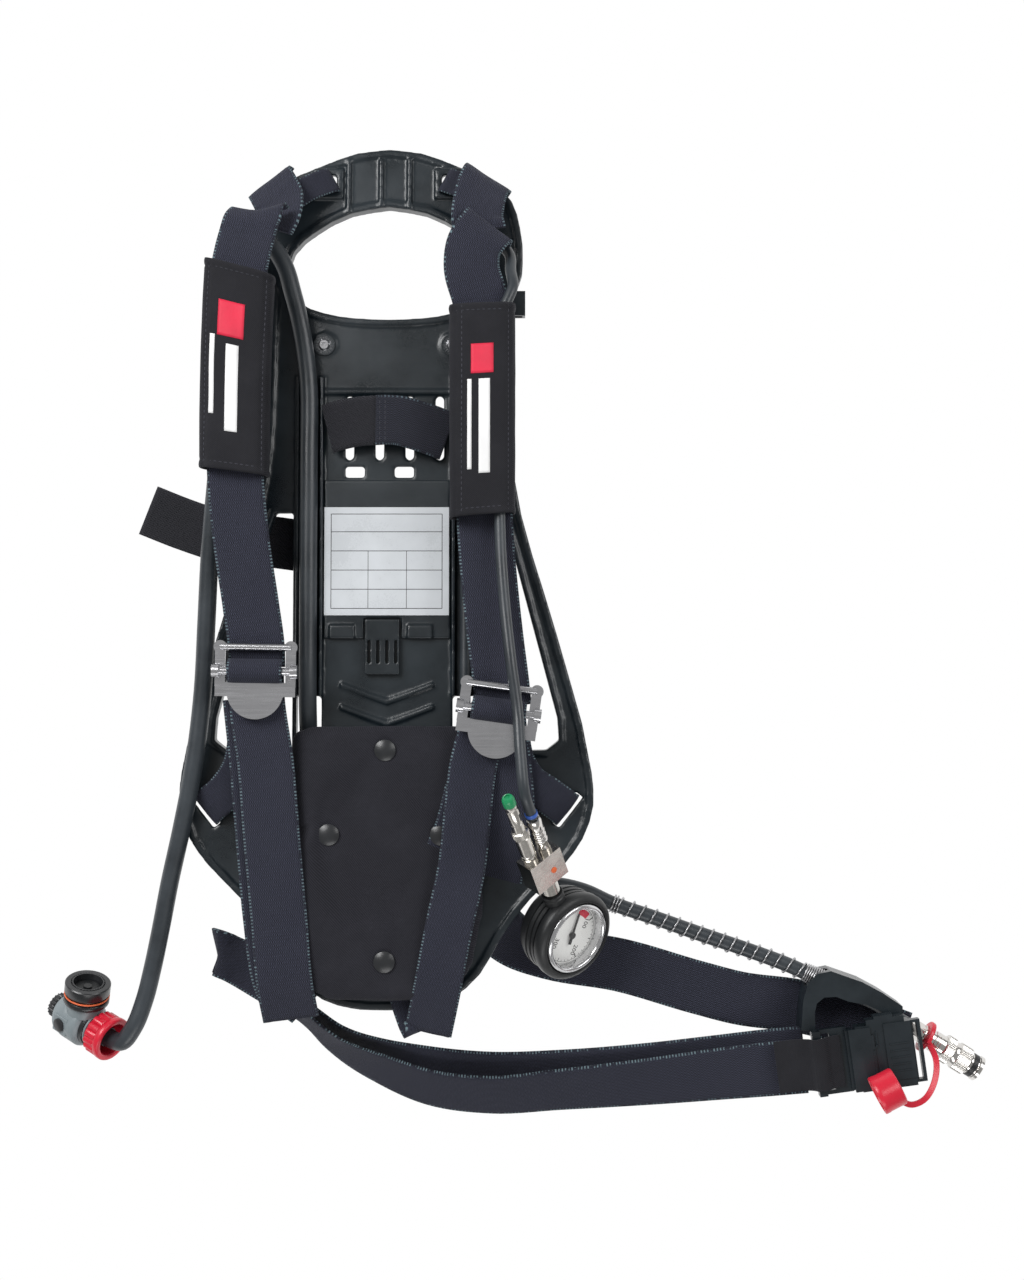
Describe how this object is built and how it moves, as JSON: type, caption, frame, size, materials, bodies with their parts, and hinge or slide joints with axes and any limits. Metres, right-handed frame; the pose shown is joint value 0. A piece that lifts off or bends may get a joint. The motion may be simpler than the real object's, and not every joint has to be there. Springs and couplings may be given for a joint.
{
  "type": "breathing apparatus carrying set",
  "caption": "Firefighting breathing apparatus set lying on its back: moulded back plate, webbing harness, pressure gauge line, lung demand valve on its hose and quick supply coupling.",
  "frame": {"origin": "centre of the flat rear face of the cylinder pad, on which the set lies", "axes": "+Y from the lumbar end to the carry handle, +Z from the cylinder side to the wearer side, +X to the right as seen from the wearer side"},
  "size_m": [0.6981, 0.7219, 0.136],
  "materials": {
    "plate_plastic": "satin",
    "label_film": "gloss",
    "pad_fabric": "matte",
    "sleeve_fabric": "matte",
    "snap_plastic": "satin",
    "webbing": "matte",
    "buckle_steel": "satin",
    "buckle_plastic": "satin",
    "hose_rubber": "satin",
    "guard_wire": "satin",
    "nickel": "satin",
    "red_plastic": "gloss",
    "green_plastic": "gloss",
    "boot_rubber": "matte",
    "case_steel": "satin",
    "dial_white": "satin",
    "needle_black": "matte",
    "lens_clear": "gloss",
    "brass": "satin",
    "valve_grey": "satin",
    "seal_orange": "satin"
  },
  "bodies": {
    "root": {"back_plate": "plate_plastic", "centre_cover": "plate_plastic", "cover_latch": "plate_plastic", "rating_label": "label_film", "lumbar_pad": "pad_fabric", "pad_snaps": "snap_plastic", "panel_screws": "buckle_steel", "rear_screws": "buckle_steel", "hose_clip": "plate_plastic", "cylinder_pad": "boot_rubber", "yoke_loop_left": "webbing", "yoke_loop_right": "webbing", "shoulder_strap_left": "webbing", "shoulder_strap_right": "webbing", "sleeve_left": "sleeve_fabric", "sleeve_right": "sleeve_fabric", "pull_strap_left": "webbing", "pull_strap_right": "webbing", "wing_strap_left": "webbing", "wing_strap_right": "webbing", "cylinder_band": "webbing", "waist_belt_right": "webbing", "waist_belt_left": "webbing", "waist_tail_left": "webbing", "buckle_female": "buckle_plastic", "coupling_holder": "buckle_plastic", "demand_hose": "hose_rubber", "gauge_hose": "hose_rubber", "supply_hose": "hose_rubber", "spring_guard": "guard_wire", "coupling_body": "nickel", "tee_block": "nickel", "whistle_body": "nickel", "whistle_tip": "green_plastic", "hose_ferrule": "nickel", "valve_body": "valve_grey", "port_seal": "seal_orange", "reducer_body": "nickel", "reducer_spring": "guard_wire"},
    "left_buckle": {"buckle_left": "buckle_steel", "bar_webbing_left": "webbing"},
    "right_buckle": {"buckle_right": "buckle_steel", "bar_webbing_right": "webbing"},
    "belt_tongue": {"buckle_male": "buckle_plastic", "belt_end_webbing": "webbing"},
    "upper_prong": {"buckle_prong_upper": "buckle_plastic"},
    "lower_prong": {"buckle_prong_lower": "buckle_plastic"},
    "locking_sleeve": {"coupling_sleeve": "nickel"},
    "cap_ring": {"dust_cap": "red_plastic"},
    "gauge_head": {"gauge_boot": "boot_rubber", "gauge_case": "case_steel", "gauge_dial": "dial_white", "gauge_lens": "lens_clear", "bourdon_tube": "brass"},
    "needle": {"gauge_needle": "needle_black"},
    "bypass_knob": {"valve_knob": "boot_rubber"},
    "reset_button": {"valve_button": "red_plastic"},
    "swivel_nut": {"hose_nut": "red_plastic"},
    "piston": {"reducer_piston": "brass"},
    "handwheel": {"cylinder_handwheel": "boot_rubber"}
  },
  "joints": [
    {"name": "left_buckle_tilt", "type": "hinge", "parent": "root", "child": "left_buckle", "pos_m": [-0.09, -0.048, 0.09], "axis": [-0.9998, 0.0175, 0], "range_deg": [0, 40]},
    {"name": "right_buckle_tilt", "type": "hinge", "parent": "root", "child": "right_buckle", "pos_m": [0.084, -0.076, 0.09], "axis": [-0.9903, 0.1392, 0], "range_deg": [0, 12]},
    {"name": "belt_release", "type": "slide", "parent": "root", "child": "belt_tongue", "axis": [-0.9903, -0.1392, 0], "range_m": [0, 0.03]},
    {"name": "upper_prong_flex", "type": "hinge", "parent": "belt_tongue", "child": "upper_prong", "pos_m": [0.3427, -0.33414, 0.034], "axis": [0, 0, -1], "range_deg": [0, 8], "stiffness_Nm_per_rad": 0.5},
    {"name": "lower_prong_flex", "type": "hinge", "parent": "belt_tongue", "child": "lower_prong", "pos_m": [0.34743, -0.36781, 0.034], "axis": [0, 0, 1], "range_deg": [0, 8], "stiffness_Nm_per_rad": 0.5},
    {"name": "sleeve_slide", "type": "slide", "parent": "root", "child": "locking_sleeve", "axis": [-0.848, 0.5299, 0], "range_m": [0, 0.005], "stiffness_N_per_m": 600},
    {"name": "cap_ring_turn", "type": "hinge", "parent": "root", "child": "cap_ring", "pos_m": [0.40057, -0.33948, 0.014], "axis": [0.848, -0.5299, 0], "range_deg": [-30, 0]},
    {"name": "gauge_swivel", "type": "hinge", "parent": "root", "child": "gauge_head", "pos_m": [0.1306, -0.2553, 0.05], "axis": [-0.2701, 0.7767, 0.569], "range_deg": [-60, 60]},
    {"name": "needle_turn", "type": "hinge", "parent": "gauge_head", "child": "needle", "pos_m": [0.13371, -0.25685, 0.0536], "axis": [-0.6211, 0.311, -0.7193], "range_deg": [0, 250]},
    {"name": "knob_turn", "type": "hinge", "parent": "root", "child": "bypass_knob", "pos_m": [-0.24608, -0.31411, 0.022], "axis": [0.7972, -0.3384, 0.5], "range_deg": [0, 90]},
    {"name": "button_press", "type": "slide", "parent": "root", "child": "reset_button", "axis": [0.5794, 0.1959, -0.7912], "range_m": [0, 0.003], "stiffness_N_per_m": 300},
    {"name": "nut_turn", "type": "hinge", "parent": "root", "child": "swivel_nut", "pos_m": [-0.211, -0.329, 0.044], "axis": [0.7972, -0.3384, 0.5], "continuous": true},
    {"name": "piston_travel", "type": "slide", "parent": "root", "child": "piston", "axis": [1, 0, 0], "range_m": [0, 0.002], "stiffness_N_per_m": 2000},
    {"name": "handwheel_turn", "type": "hinge", "parent": "root", "child": "handwheel", "pos_m": [-0.01, -0.273, 0.022], "axis": [0, -1, 0], "continuous": true}
  ]
}
